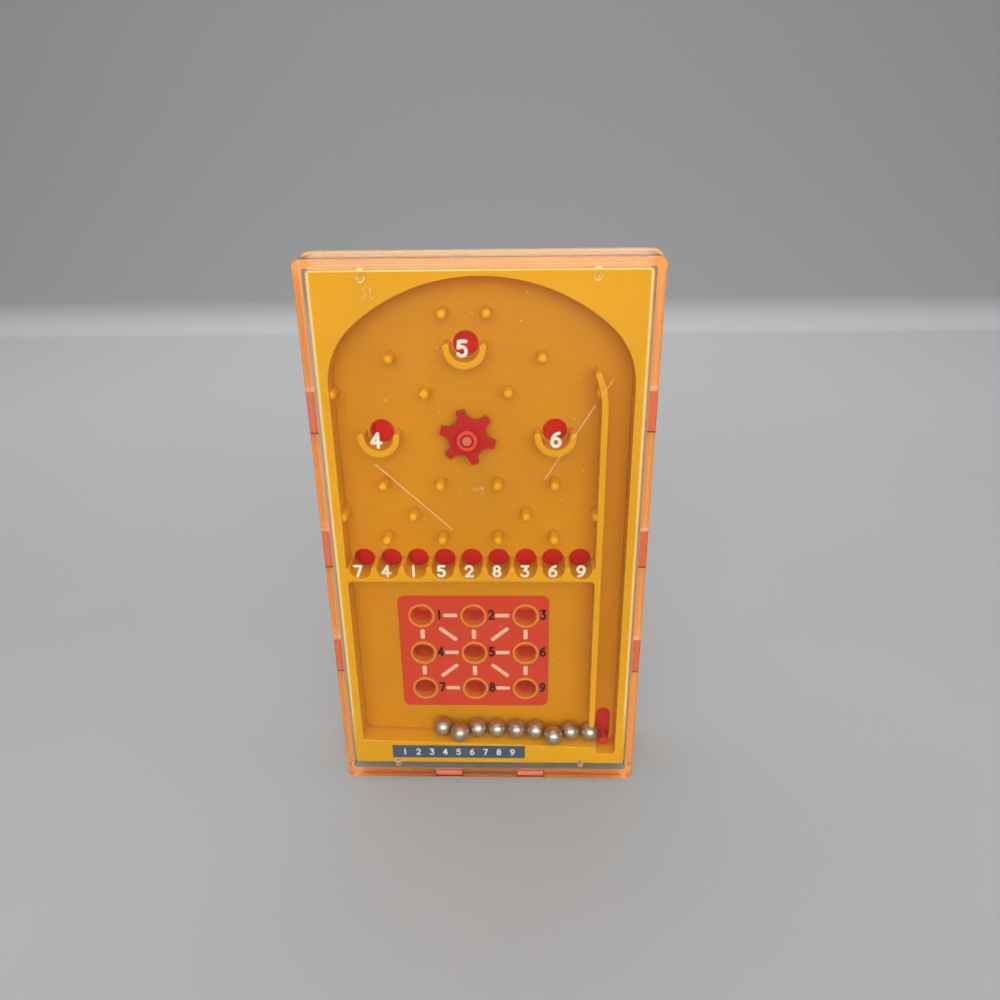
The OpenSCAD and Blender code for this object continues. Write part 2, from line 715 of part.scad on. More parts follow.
// Blocks on the side walls that hold the board's edges
module edge_support(sx, z) {
    inner = board_w / 2 - 1.2;
    low = sx > 0 ? inner : -inner - 1.1;
    back_rib(low, z, 1.1, 5, board_back_y);
    outer = sx > 0 ? inner + 1 : -inner_w / 2 - wall_bite;
    back_rib(outer, z, inner_w / 2 + wall_bite - inner - 1, 5, seam_y + 0.2);
}

// Guides, stop and spring shelf of the launcher
module launcher_guides() {
    back_rib(lane_x - guide_x - guide_t, slider_low_z, guide_t, spring_top_z + shelf_t - slider_low_z, guide_y);
    back_rib(lane_x - 0.8, well_low_z, 1.6, spring_top_z - well_low_z, arm_back_y + slide_gap);
    back_rib(lane_x - guide_x - guide_t, spring_top_z, inner_w / 2 + wall_bite - lane_x + guide_x + guide_t,
        shelf_t, slider_back_y + slide_gap);
    translate([lane_x, spring_y, spring_top_z - seat_h]) cylinder(d = seat_d, h = seat_h + eps, $fn = 24);
    back_rib(lane_x - slider_w / 2, foot_wall - wall_bite, slider_w,
        slider_low_z - slide_gap - foot_wall + wall_bite, seam_y + 0.2);
    guide_back_y = button_y - stem_w / 2 - 2 * slide_gap;
    slab(guide_y, guide_back_y) translate([lane_x + guide_x, slider_low_z])
        square([board_w / 2 - lane_x - guide_x, well_top_z - slider_low_z]);
    slab(seam_y + 0.2, guide_back_y) translate([board_w / 2 - 0.1, slider_low_z])
        square([inner_w / 2 + wall_bite + 0.1 - board_w / 2, well_top_z - slider_low_z]);
}

module rear_case() {
    color([0.89, 0.43, 0.17]) difference() {
        union() {
            difference() {
                union() {
                    rounded_shell(cover_w, cover_h, corner_r, edge_r, seam_y, back_y, 1);
                    slab(seam_y, seam_y + lip_depth) lip_area();
                }
                slab(seam_y - 1, case_inner_y)
                    standing_rect(inner_w, foot_wall, cover_h - cover_wall, inner_r);
            }
            slab(seam_y - clip_reach, seam_y + 0.5)
                clip_area(0, inner_w / 2 + clip_gap, cover_w / 2 - 0.05, 0.1, cover_wall - clip_gap);
            slab(seam_y - lip_depth, seam_y + 0.5)
                clip_area(0, cover_w / 2 - 0.5, rim_w / 2, 0.1, cover_wall - clip_gap);
            plate_supports();
            for (sx = [-1, 1], z = [clip_z + 6, cup_side_z, cup_top_z]) edge_support(sx, z);
            edge_support(-1, trough_z);
            launcher_guides();
            translate([well_x - well_wall, well_y - well_wall, well_low_z - well_wall])
                cube([inner_w / 2 + wall_bite - well_x + well_wall, well_w + 2 * well_wall,
                    well_top_z - well_low_z + 2 * well_wall]);
        }
        translate([well_x, well_y, well_low_z]) cube([well_depth + 1, well_w, well_top_z - well_low_z]);
        translate([well_x - 3, button_y - stem_slot_w / 2, stem_slot_low_z])
            cube([4, stem_slot_w, stem_slot_top_z - stem_slot_low_z]);
    }
}

module grid_label() {
    color([0.82, 0.25, 0.18]) slab(floor_y - print_t, floor_y) difference() {
        translate([field_x, panel_z]) round_rect(panel_w, panel_h, 1.7);
        for (p = panel_places()) translate(p) circle(window_r + rim_t + 0.05);
    }
}

module name_strip() {
    strip_z = (board_low_z + trough_z) / 2 + 0.95;
    color([0.25, 0.35, 0.50]) slab(board_y - print_t, board_y)
        translate([field_x - strip_shift, strip_z]) square([strip_w, strip_h], center = true);
}

module star_wheel() {
    scallop_d = (pow(wheel_r, 2) - pow(wheel_valley_r, 2))
        / (2 * (wheel_r * cos(30 - asin(wheel_tip_w / 2 / wheel_r)) - wheel_valley_r));
    color([0.80, 0.12, 0.10]) difference() {
        union() {
            slab(wheel_back_y - wheel_t, wheel_back_y) translate([field_x, wheel_z]) difference() {
                circle(wheel_r, $fn = 96);
                for (k = [0 : 5]) rotate(wheel_turn + 30 + 60 * k) translate([scallop_d, 0])
                    circle(scallop_d - wheel_valley_r);
            }
            slab(wheel_front_y, wheel_back_y) translate([field_x, wheel_z]) circle(hub_d / 2);
        }
        slab(wheel_front_y - 1, wheel_back_y + 1)
            translate([field_x, wheel_z]) circle(axle_d / 2 + axle_clear);
    }
}

module wheel_axle() {
    color([0.75, 0.62, 0.38]) slab(wheel_front_y, board_back_y + collar_h)
        translate([field_x, wheel_z]) circle(axle_d / 2);
}

module launcher() {
    color([0.80, 0.13, 0.10]) {
        slab(nose_y, slider_y + eps) translate([lane_x + nose_shift, nose_low_z + nose_h / 2])
            round_rect(nose_w, nose_h, nose_r);
        translate([lane_x - slider_w / 2, slider_y, slider_low_z])
            cube([slider_w, slider_t, slider_top_z - slider_low_z]);
        translate([lane_x - slider_w / 2, slider_back_y - eps, arm_low_z])
            cube([slider_w, arm_back_y - slider_back_y + eps, arm_h]);
        translate([lane_x, spring_y, arm_top_z - eps]) cylinder(d = seat_d, h = seat_h, $fn = 24);
        translate([lane_x, button_y - stem_w / 2, stem_low_z])
            cube([button_x + socket_depth - lane_x, stem_w, stem_h]);
        translate([shutter_x, shutter_y, shutter_low_z])
            cube([shutter_t, stem_slot_w + shutter_over, stem_slot_top_z + shutter_over - shutter_low_z]);
    }
}

module thumb_button() {
    rib_r = 0.45;
    rib_step = button_len / 6;
    color([0.80, 0.13, 0.10]) difference() {
        union() {
            translate([button_x, button_y - button_w / 2, button_low_z])
                cube([button_t - rib_r, button_w, button_len]);
            for (i = [1 : 5])
                translate([button_x + button_t - rib_r, button_y - button_w / 2, button_low_z + i * rib_step])
                    rotate([-90, 0, 0]) cylinder(r = rib_r, h = button_w, $fn = 24);
        }
        translate([button_x - 1, button_y - stem_w / 2, stem_low_z]) cube([socket_depth + 1, stem_w, stem_h]);
    }
}

module launcher_spring() {
    n = coil_sides;
    points = [for (k = [0 : coil_last], p = coil_ring(k)) p];
    sides = [for (k = [0 : coil_last - 1], j = [0 : n - 1])
        let (a = k * n + j, b = k * n + (j + 1) % n) each [[a, a + n, b + n], [a, b + n, b]]];
    caps = [for (j = [1 : n - 2]) each [[0, j, j + 1], [coil_last * n, coil_last * n + j + 1, coil_last * n + j]]];
    color([0.7, 0.7, 0.72]) translate([lane_x, spring_y, arm_top_z])
        polyhedron(points = points, faces = concat(sides, caps));
}

module ball(i) {
    x = ball_end_x + ball_u(i) * cos(trough_slope);
    z = trough_at(x) + (ball_d / 2 + ball_gap) / cos(trough_slope);
    color([0.72, 0.70, 0.68]) translate([x, ball_y(i), z]) sphere(d = ball_d);
}

front_cover();
playfield();
track_plate();
rear_case();
grid_label();
name_strip();
star_wheel();
wheel_axle();
launcher();
thumb_button();
launcher_spring();
ball(0);  // ball_1
ball(1);  // ball_2
ball(2);  // ball_3
ball(3);  // ball_4
ball(4);  // ball_5
ball(5);  // ball_6
ball(6);  // ball_7
ball(7);  // ball_8
ball(8);  // ball_9
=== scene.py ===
# Looks of the pocket pinball game: materials, printed figures, wear, light and camera.
import math
import random

import bmesh
import bpy
from mathutils import Matrix, Vector


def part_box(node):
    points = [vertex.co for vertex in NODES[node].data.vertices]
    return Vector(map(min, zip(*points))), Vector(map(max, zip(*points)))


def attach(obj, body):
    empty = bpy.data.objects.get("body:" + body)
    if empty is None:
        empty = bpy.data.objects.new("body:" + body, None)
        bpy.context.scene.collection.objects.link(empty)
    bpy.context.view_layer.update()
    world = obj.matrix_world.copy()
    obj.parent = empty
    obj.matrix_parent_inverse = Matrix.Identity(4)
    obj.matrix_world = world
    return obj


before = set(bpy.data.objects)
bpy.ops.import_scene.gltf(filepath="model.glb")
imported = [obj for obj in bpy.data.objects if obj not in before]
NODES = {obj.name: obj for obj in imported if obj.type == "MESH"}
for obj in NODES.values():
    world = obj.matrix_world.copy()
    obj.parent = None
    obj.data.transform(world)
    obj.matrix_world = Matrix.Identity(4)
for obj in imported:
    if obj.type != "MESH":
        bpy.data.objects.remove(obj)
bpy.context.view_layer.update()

MM = 0.001

# Places on the game in millimetres, as the CAD has them
FIELD_X = -3.25
PITCH = 6.1
POCKET_Z = 57.4
WINDOW_X = [FIELD_X + 2 * PITCH * k for k in (-1, 0, 1)]
WINDOW_Z = [42.45, 32.2, 21.95]
CUPS = [("4", -21.7, 87.6), ("5", -3.5, 106.2), ("6", 15.0, 87.6)]
POCKET_FIGURES = "741528369"
FRONT_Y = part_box("front_cover")[0].y / MM
WINDOW_T = 1.2
GLASS_BACK_Y = FRONT_Y + WINDOW_T
LABEL_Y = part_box("grid_label")[0].y / MM
WHEEL_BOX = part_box("star_wheel")
WHEEL_Z = (WHEEL_BOX[0].z + WHEEL_BOX[1].z) / 2 / MM
BOARD_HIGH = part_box("playfield")[1] / MM
RIM_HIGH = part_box("rear_case")[1] / MM
STRIP_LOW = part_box("name_strip")[0] / MM
STRIP_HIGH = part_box("name_strip")[1] / MM


def srgb(r, g, b):
    """A colour as seen on a screen, from 0 to 255, in the linear values that shaders use."""
    def linear(c):
        c = c / 255
        return c / 12.92 if c <= 0.04045 else ((c + 0.055) / 1.055) ** 2.4
    return (linear(r), linear(g), linear(b), 1.0)


def scaled(colour, k):
    """The colour made k times as bright."""
    return tuple(min(c * k, 1.0) for c in colour[:3]) + (1.0,)


class Shader:
    """A material's node tree, with short calls for the nodes used here. Lengths are in millimetres."""

    def __init__(self, name):
        self.mat = bpy.data.materials.new(name)
        self.mat.use_nodes = True
        self.tree = self.mat.node_tree
        self.bsdf = self.tree.nodes["Principled BSDF"]
        self.out = self.tree.nodes["Material Output"]
        place = self.add("ShaderNodeTexCoord").outputs["Object"]
        self.mm = self.vector("SCALE", place, scale=1000.0)

    def add(self, kind, **props):
        node = self.tree.nodes.new(kind)
        for key, value in props.items():
            setattr(node, key, value)
        return node

    def feed(self, socket, value):
        if isinstance(value, bpy.types.NodeSocket):
            self.tree.links.new(value, socket)
        else:
            socket.default_value = value

    def vector(self, operation, a, b=None, scale=None):
        node = self.add("ShaderNodeVectorMath", operation=operation)
        self.feed(node.inputs[0], a)
        if b is not None:
            self.feed(node.inputs[1], b)
        if scale is not None:
            node.inputs["Scale"].default_value = scale
        return node.outputs["Value" if operation in ("DOT_PRODUCT", "LENGTH") else "Vector"]

    def sum(self, operation, a, b=0.0, clamp=False):
        node = self.add("ShaderNodeMath", operation=operation, use_clamp=clamp)
        self.feed(node.inputs[0], a)
        self.feed(node.inputs[1], b)
        return node.outputs[0]

    def noise(self, per_mm, detail=3.0, stretch=(1.0, 1.0, 1.0), shift=0.0):
        place = self.vector("MULTIPLY", self.mm, stretch)
        place = self.vector("ADD", place, (shift, 0.7 * shift, 0.3 * shift))
        node = self.add("ShaderNodeTexNoise")
        self.feed(node.inputs["Vector"], place)
        node.inputs["Scale"].default_value = per_mm
        node.inputs["Detail"].default_value = detail
        return node.outputs["Fac"]

    def span(self, value, low, high, to_low=0.0, to_high=1.0):
        node = self.add("ShaderNodeMapRange", clamp=True)
        self.feed(node.inputs["Value"], value)
        for key, number in (("From Min", low), ("From Max", high), ("To Min", to_low), ("To Max", to_high)):
            node.inputs[key].default_value = number
        return node.outputs["Result"]

    def mix(self, share, a, b):
        node = self.add("ShaderNodeMix", data_type="RGBA")
        self.feed(node.inputs["Factor"], share)
        self.feed(node.inputs[6], a)
        self.feed(node.inputs[7], b)
        return node.outputs[2]

    def bump(self, height, strength, depth, normal=None):
        node = self.add("ShaderNodeBump")
        node.inputs["Strength"].default_value = strength
        node.inputs["Distance"].default_value = depth * MM
        self.feed(node.inputs["Height"], height)
        if normal is not None:
            self.feed(node.inputs["Normal"], normal)
        return node.outputs["Normal"]

    def axis(self, name):
        """One coordinate of the object's own space, in millimetres."""
        node = self.add("ShaderNodeSeparateXYZ")
        self.feed(node.inputs[0], self.mm)
        return node.outputs[name]

    def let_light_through(self, tint):
        """Shadow rays pass with this tint at each face, as they do through thin or clear plastic."""
        through = self.add("ShaderNodeBsdfTransparent")
        self.feed(through.inputs["Color"], tint)
        both = self.add("ShaderNodeMixShader")
        self.feed(both.inputs[0], self.add("ShaderNodeLightPath").outputs["Is Shadow Ray"])
        self.feed(both.inputs[1], self.bsdf.outputs[0])
        self.feed(both.inputs[2], through.outputs[0])
        self.feed(self.out.inputs["Surface"], both.outputs[0])

    def rounded(self, radius):
        """A normal that rounds edges off in the shading."""
        node = self.add("ShaderNodeBevel", samples=4)
        node.inputs["Radius"].default_value = radius * MM
        return node.outputs["Normal"]

    def set(self, **values):
        for key, value in values.items():
            self.feed(self.bsdf.inputs[key.replace("_", " ")], value)
        return self.mat


def edge_share(s, soft, gain):
    """How far the softened normal leaves the face's own, which is large along edges."""
    true = s.add("ShaderNodeNewGeometry").outputs["Normal"]
    return s.sum("MULTIPLY", s.sum("SUBTRACT", 1.0, s.vector("DOT_PRODUCT", soft, true)), gain, clamp=True)


def moulded(name, colour, rough, glow=0.0, shine=0.5, soft=0.16, streaks=0.06, tints=(), leak=None):
    """Injection-moulded plastic: slow flow marks, fine grain, dust, small scratches and soft, paler edges.
    tints are further colours, each with the function that gives its share from place to place, and leak
    is the tint in which the plastic passes light."""
    s = Shader(name)
    place = s.noise(0.05, 4.0, (1.0, 1.0, 0.4))
    colour_at = colour
    for tint, share in tints:
        colour_at = s.mix(share(s), colour_at, tint)
    body = s.mix(s.span(place, 0.32, 0.68, 0.10, 0.0), colour_at, (0.0, 0.0, 0.0, 1.0))
    normal = s.rounded(soft)
    patches = s.span(s.noise(0.5, 4.0, shift=9.0), 0.3, 0.65, 0.25, 1.0)
    worn = s.sum("MULTIPLY", edge_share(s, normal, 2.5), patches)
    body = s.mix(worn, body, tuple(c + (1 - c) * 0.15 for c in colour[:3]) + (1.0,))
    specks = s.span(s.noise(2.2, 2.0, shift=31.0), 0.68, 0.76, 0.0, 0.25)
    body = s.mix(specks, body, srgb(225, 205, 170))
    normal = s.bump(s.noise(3.0, 3.0, shift=17.0), 0.10, 0.02, normal)
    normal = s.bump(s.noise(0.9, 5.0, (1.0, 1.0, 9.0), shift=4.0), streaks, 0.02, normal)
    gloss = s.span(s.noise(0.25, 5.0, shift=3.0), 0.3, 0.7, rough - 0.05, rough + 0.09)
    mat = s.set(Base_Color=body, Roughness=gloss, Normal=normal, IOR=1.55, Specular_IOR_Level=shine)
    if glow:
        s.bsdf.inputs["Subsurface Weight"].default_value = glow
        s.bsdf.inputs["Subsurface Radius"].default_value = (1.0, 0.45, 0.1)
        s.bsdf.inputs["Subsurface Scale"].default_value = 0.002
    if leak:
        s.let_light_through(leak)
    return mat


def recess_shade(s):
    """Painted shade: the recess floor is painted darker and deeper in colour than the border, for the shade
    in the recess and the dimmer light through its thin plastic.
    """
    return s.span(s.axis("Y"), -3.6, -2.3)


def panel_glow(s):
    """Painted light: within the score panel, the window rims are painted orange for the red of the panel
    shining through them, and the track plate behind the windows is painted more orange.
    """
    across = s.sum("ABSOLUTE", s.sum("SUBTRACT", s.axis("X"), FIELD_X))
    up = s.sum("ABSOLUTE", s.sum("SUBTRACT", s.axis("Z"), WINDOW_Z[1]))
    return s.sum("MULTIPLY", s.span(across, 15.6, 16.6, 1.0, 0.0), s.span(up, 13.4, 14.4, 1.0, 0.0))


def board_edge_highlight(s):
    """Painted highlight: a cream line along the board's front edge, full at the top and fainter at the sides,
    for the light the edge catches.
    """
    top = s.span(s.axis("Z"), BOARD_HIGH.z - 0.85, BOARD_HIGH.z - 0.6)
    side = s.span(s.sum("ABSOLUTE", s.axis("X")), BOARD_HIGH.x - 0.7, BOARD_HIGH.x - 0.45, 0.0, 0.6)
    side = s.sum("MULTIPLY", side, s.span(s.axis("Z"), 8.0, 20.0))
    return s.sum("MULTIPLY", s.sum("MAXIMUM", top, side), s.span(s.axis("Y"), -6.9, -7.2))


def clip_part(s):
    """The clips in front of the seam, seen through the cover's walls."""
    return s.span(s.axis("Y"), 0.0, -0.3)


def rim_part(s):
    """The thin rim at the seam lets light through and looks paler."""
    side = s.span(s.sum("ABSOLUTE", s.axis("X")), RIM_HIGH.x - 0.64, RIM_HIGH.x - 0.55)
    return s.sum("MAXIMUM", side, s.span(s.axis("Z"), RIM_HIGH.z - 0.64, RIM_HIGH.z - 0.55))


def hub_highlight(s):
    """Painted highlight: the hub in front of the wheel's arms is painted a lighter red."""
    return s.span(s.axis("Y"), -5.2, -6.2)


def hub_ring(s):
    """The shaded ring where the axle comes through the hub."""
    flat = s.vector("MULTIPLY", s.vector("SUBTRACT", s.mm, (FIELD_X, 0.0, WHEEL_Z)), (1.0, 0.0, 1.0))
    return s.span(s.vector("LENGTH", flat), 1.5, 1.3)


def clear_plastic():
    """Clear polystyrene, a little hazy with handling. Shadow rays pass, so that light reaches the board."""
    s = Shader("clear_polystyrene")
    facing = s.vector("DOT_PRODUCT", s.add("ShaderNodeNewGeometry").outputs["Normal"], (0.0, 1.0, 0.0))
    flat = s.span(s.sum("ABSOLUTE", facing), 0.90, 0.99)
    rub = s.span(s.noise(0.08, 5.0, shift=5.0), 0.45, 0.75, 0.0, 1.0)
    hair_a = s.span(s.noise(1.0, 2.0, (1.0, 1.0, 14.0), shift=2.0), 0.62, 0.72)
    hair_b = s.span(s.noise(1.0, 2.0, (12.0, 1.0, 1.0), shift=8.0), 0.63, 0.73)
    hairs = s.sum("MULTIPLY", s.sum("MULTIPLY", s.sum("MAXIMUM", hair_a, hair_b), rub), flat)
    soft = s.rounded(0.25)
    wave = s.bump(s.noise(0.06, 1.0, shift=40.0), 0.12, 0.05, soft)
    normal = s.bump(hairs, 0.10, 0.01, wave)
    haze = s.sum("ADD", s.span(rub, 0.0, 1.0, 0.02, 0.04), s.sum("MULTIPLY", hairs, 0.06))
    s.set(Base_Color=(0.985, 0.985, 0.98, 1.0), Roughness=haze, Normal=normal, IOR=1.57,
          Specular_Tint=(0.2, 0.2, 0.2, 1.0), Transmission_Weight=1.0)
    # Painted shade: shadow rays through the cover's bottom face pass only dark brown, which darkens the table
    # under the foot.
    foot_shade = s.span(s.axis("Z"), 0.4, 0.1)
    s.let_light_through(s.mix(foot_shade, (0.95, 0.96, 0.955, 1.0), (0.16, 0.12, 0.08, 1.0)))
    return s.mat


def printed(name, colour, faded, rough, thin=0.5):
    """Ink or enamel print: patchy, slightly worn through, with a faint paper-like grain."""
    s = Shader(name)
    patch = s.span(s.noise(0.12, 5.0, shift=12.0), 0.35, 0.7)
    body = s.mix(patch, colour, faded)
    pits = s.span(s.noise(3.5, 3.0, shift=6.0), 0.64, 0.74, 0.0, thin)
    body = s.mix(pits, body, scaled(colour, 0.7))
    grain = s.noise(5.0, 3.0, shift=2.0)
    gloss = s.span(s.noise(0.4, 4.0), 0.3, 0.7, rough - 0.07, rough + 0.1)
    return s.set(Base_Color=body, Roughness=gloss, Normal=s.bump(grain, 0.12, 0.02), Specular_IOR_Level=0.2)


def metal(name, colour, dark, rough):
    """Polished metal with smudges and fine handling scratches."""
    s = Shader(name)
    smudge = s.span(s.noise(0.6, 5.0, shift=7.0), 0.4, 0.7)
    body = s.mix(smudge, colour, dark)
    lines = s.noise(2.0, 4.0, (1.0, 6.0, 1.0), shift=3.0)
    gloss = s.span(s.noise(1.1, 4.0, shift=1.0), 0.35, 0.7, rough, rough + 0.16)
    return s.set(Base_Color=body, Metallic=1.0, Roughness=gloss, Normal=s.bump(lines, 0.08, 0.01))


def ground(name, colour, dark, far, low_wall_shade, high_wall_shade):
    """Matt table, painted paler far off, where less light falls on it, as painted light; it turns into a wall
    painted slightly darker as painted shade.
    """
    s = Shader(name)
    tone = s.mix(s.span(s.noise(0.004, 4.0), 0.35, 0.65), colour, dark)
    tone = s.mix(s.span(s.axis("Y"), 60.0, 520.0), tone, far)
    tone = s.mix(s.span(s.axis("Z"), 2.0, 30.0), tone, low_wall_shade)
    tone = s.mix(s.span(s.axis("Z"), 30.0, 350.0), tone, high_wall_shade)
    grain = s.noise(0.8, 3.0, shift=5.0)
    return s.set(Base_Color=tone, Roughness=0.75, Normal=s.bump(grain, 0.05, 0.05))


# Painted light and shade in the yellow's tints: a darker recess floor, orange window rims and a cream edge
# highlight.
YELLOW = moulded("yellow_plastic_moulded", srgb(224, 160, 8), 0.34, glow=0.3, shine=0.14, soft=0.35,
                 tints=((srgb(207, 138, 6), recess_shade), (srgb(232, 134, 40), panel_glow),
                        (srgb(255, 226, 158), board_edge_highlight)), leak=(0.74, 0.45, 0.16, 1.0))
# The track plate is painted more orange behind the panel's windows, as painted light.
TRACK = moulded("track_plastic_moulded", srgb(250, 60, 34), 0.34, shine=0.15,
                tints=((srgb(240, 96, 48), panel_glow),), leak=(0.88, 0.3, 0.2, 1.0))
# The wheel's hub is painted lighter as a painted highlight, with a painted shadow ring round the axle.
WHEEL = moulded("wheel_plastic_moulded", srgb(184, 20, 12), 0.32, shine=0.2,
                tints=((srgb(226, 62, 44), hub_highlight), (srgb(120, 14, 8), hub_ring)))
RED = moulded("red_plastic_moulded", srgb(204, 50, 34), 0.34, shine=0.25)
ORANGE = moulded("orange_plastic_moulded", srgb(246, 156, 66), 0.33, glow=0.08, shine=0.4, streaks=0.03,
                 tints=((srgb(230, 104, 50), clip_part), (srgb(222, 180, 134), rim_part)))
CLEAR = clear_plastic()
LABEL = printed("red_panel_print", srgb(202, 58, 34), srgb(196, 66, 38), 0.48, 0.35)
STRIP = printed("blue_strip_print", srgb(62, 78, 94), srgb(76, 90, 104), 0.45, 0.35)
WHITE_INK = printed("white_figure_enamel", srgb(232, 222, 204), srgb(222, 206, 184), 0.40, 0.3)
BAR_INK = printed("pale_bar_print", srgb(228, 184, 158), srgb(218, 168, 140), 0.5, 0.4)
BLACK_INK = printed("black_figure_print", srgb(38, 22, 20), srgb(70, 34, 28), 0.45, 0.5)
STEEL = metal("polished_steel", (0.60, 0.52, 0.43, 1.0), (0.48, 0.40, 0.32, 1.0), 0.28)
PIN = moulded("axle_plastic_moulded", srgb(216, 96, 60), 0.35)
WIRE = metal("spring_steel", (0.60, 0.60, 0.61, 1.0), (0.46, 0.46, 0.47, 1.0), 0.22)

for name, mat in {
    "front_cover": CLEAR, "playfield": YELLOW, "track_plate": TRACK, "rear_case": ORANGE,
    "grid_label": LABEL, "name_strip": STRIP, "star_wheel": WHEEL, "wheel_axle": PIN,
    "launcher": RED, "thumb_button": RED, "launcher_spring": WIRE,
}.items():
    for slot in NODES[name].material_slots:
        slot.material = mat
for k in range(1, 10):
    for slot in NODES[f"ball_{k}"].material_slots:
        slot.material = STEEL


def arc(cx, cz, rx, rz, start, end, n=14):
    """Points of an elliptic arc between two angles in degrees."""
    turns = [math.radians(start + (end - start) * k / n) for k in range(n + 1)]
    return [(cx + rx * math.cos(t), cz + rz * math.sin(t)) for t in turns]


# Plain round-ended figures, one unit high
SIX = [arc(0.62, 0.33, 0.60, 0.67, 100, 180), arc(0.31, 0.30, 0.29, 0.30, 0, 360, 20)]
FIGURES = {
    "1": [[(0.30, 0.0), (0.30, 1.0)]],
    "2": [arc(0.30, 0.70, 0.28, 0.30, 165, -38) + [(0.04, 0.0), (0.60, 0.0)]],
    "3": [[(0.06, 1.0), (0.56, 1.0), (0.28, 0.60)] + arc(0.28, 0.30, 0.30, 0.30, 85, -150)],
    "4": [[(0.46, 0.0), (0.46, 1.0), (0.0, 0.30), (0.66, 0.30)]],
    "5": [[(0.56, 1.0), (0.11, 1.0), (0.06, 0.56)] + arc(0.28, 0.32, 0.30, 0.32, 125, -145)],
    "6": SIX,
    "7": [[(0.0, 1.0), (0.60, 1.0), (0.22, 0.0)]],
    "8": [arc(0.30, 0.76, 0.23, 0.24, 0, 360, 20), arc(0.30, 0.27, 0.28, 0.27, 0, 360, 20)],
    "9": [[(0.62 - x, 1.0 - z) for x, z in part] for part in SIX],
}


def split_at_corners(path):
    """Cuts a path where it turns sharply, so that each run gets its own round ends."""
    runs, run = [], [path[0]]
    for k in range(1, len(path)):
        run.append(path[k])
        if k < len(path) - 1:
            a = Vector(path[k]) - Vector(path[k - 1])
            b = Vector(path[k + 1]) - Vector(path[k])
            if a.length > 0 and b.length > 0 and a.angle(b) > math.radians(38):
                runs.append(run)
                run = [path[k]]
    return runs + [run]


def add_stroke(bm, path, radius, height, y, sides=8):
    """A round-ended stroke along a path in X and Z, lying at depth y and height thick, all in millimetres."""
    points = [Vector(p) for p in path]
    rings = []
    last = len(points) - 1
    for k, p in enumerate(points):
        way = (points[min(k + 1, last)] - points[max(k - 1, 0)]).normalized()
        steps = [(0.0, 1.0)]
        if k == 0:
            steps = [(-math.sin(t), math.cos(t)) for t in (1.5, 1.05, 0.55)] + steps
        if k == last:
            steps = steps + [(math.sin(t), math.cos(t)) for t in (0.55, 1.05, 1.5)]
        side = Vector((-way.y, way.x))
        for along, share in steps:
            c = p + way * along * radius
            ring = []
            for j in range(sides):
                t = 2 * math.pi * j / sides
                q = c + side * radius * share * math.cos(t)
                ring.append(bm.verts.new(Vector((q.x, y + height / 2 * share * math.sin(t), q.y)) * MM))
            rings.append(ring)
    for a, b in zip(rings, rings[1:]):
        for j in range(sides):
            bm.faces.new((a[j], a[(j + 1) % sides], b[(j + 1) % sides], b[j]))
    bm.faces.new(list(reversed(rings[0])))
    bm.faces.new(rings[-1])


def add_figure(bm, figure, x, z, size, radius, height, y, narrow=1.0):
    """A figure centred on x and z."""
    for path in FIGURES[figure]:
        placed = [(x + (px - 0.31) * size * narrow, z + (pz - 0.5) * size) for px, pz in path]
        for run in split_at_corners(placed):
            add_stroke(bm, run, radius, height, y)


def add_bar(bm, x, z, length, width, angle, height, y):
    """A flat bar with softened corners, centred on x and z."""
    made = bmesh.ops.create_cube(bm, size=1.0)["verts"]
    turn = Matrix.Rotation(-math.radians(angle), 4, "Y")
    size = Matrix.Diagonal((length * MM, height * MM, width * MM, 1.0))
    bmesh.ops.transform(bm, verts=made, matrix=Matrix.Translation(Vector((x, y, z)) * MM) @ turn @ size)
    upright = [e for e in set(e for v in made for e in v.link_edges)
               if abs((e.verts[0].co - e.verts[1].co).y) > 0.5 * height * MM]
    bmesh.ops.bevel(bm, geom=upright, offset=0.12 * MM, segments=3, affect="EDGES")


def finish_piece(bm, name, mat, body, smooth=True):
    """Makes the mesh a piece of the part that rides on a body."""
    bmesh.ops.recalc_face_normals(bm, faces=bm.faces[:])
    mesh = bpy.data.meshes.new(name)
    bm.to_mesh(mesh)
    bm.free()
    piece = bpy.data.objects.new(name, mesh)
    bpy.context.scene.collection.objects.link(piece)
    mesh.materials.append(mat)
    if smooth:
        mesh.polygons.foreach_set("use_smooth", [True] * len(mesh.polygons))
    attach(piece, body)


# White figures behind the window, one over each hole and cup
ENAMEL_T = 0.07
ENAMEL_Y = GLASS_BACK_Y + 0.045
bm = bmesh.new()
for k, figure in enumerate(POCKET_FIGURES):
    add_figure(bm, figure, FIELD_X + (k - 4) * PITCH - 0.2, POCKET_Z + 0.15, 2.5, 0.31, ENAMEL_T, ENAMEL_Y)
for figure, x, z in CUPS:
    add_figure(bm, figure, x, z + 0.1, 2.85, 0.37, ENAMEL_T, ENAMEL_Y)
finish_piece(bm, "cover_figures", WHITE_INK, "root")

# Score panel: pale bars between the windows and a black figure beside each
PRINT_T = 0.03
PRINT_LIFT = 0.005
bm = bmesh.new()
bar_y = LABEL_Y - PRINT_LIFT
for z in WINDOW_Z:
    for x in WINDOW_X[:2]:
        add_bar(bm, x + 6.75, z, 3.3, 0.95, 0, PRINT_T, bar_y)
for x in WINDOW_X:
    for z in (WINDOW_Z[1] + 5.1, WINDOW_Z[1] - 5.15):
        add_bar(bm, x, z, 2.6, 1.0, 90, PRINT_T, bar_y)
for sx in (-1, 1):
    for sz in (-1, 1):
        x, z = FIELD_X + sx * PITCH, WINDOW_Z[1] + sz * 5.125
        add_bar(bm, x, z, 5.2, 0.95, sx * sz * 40, PRINT_T, bar_y)
finish_piece(bm, "panel_bars", BAR_INK, "root", smooth=False)

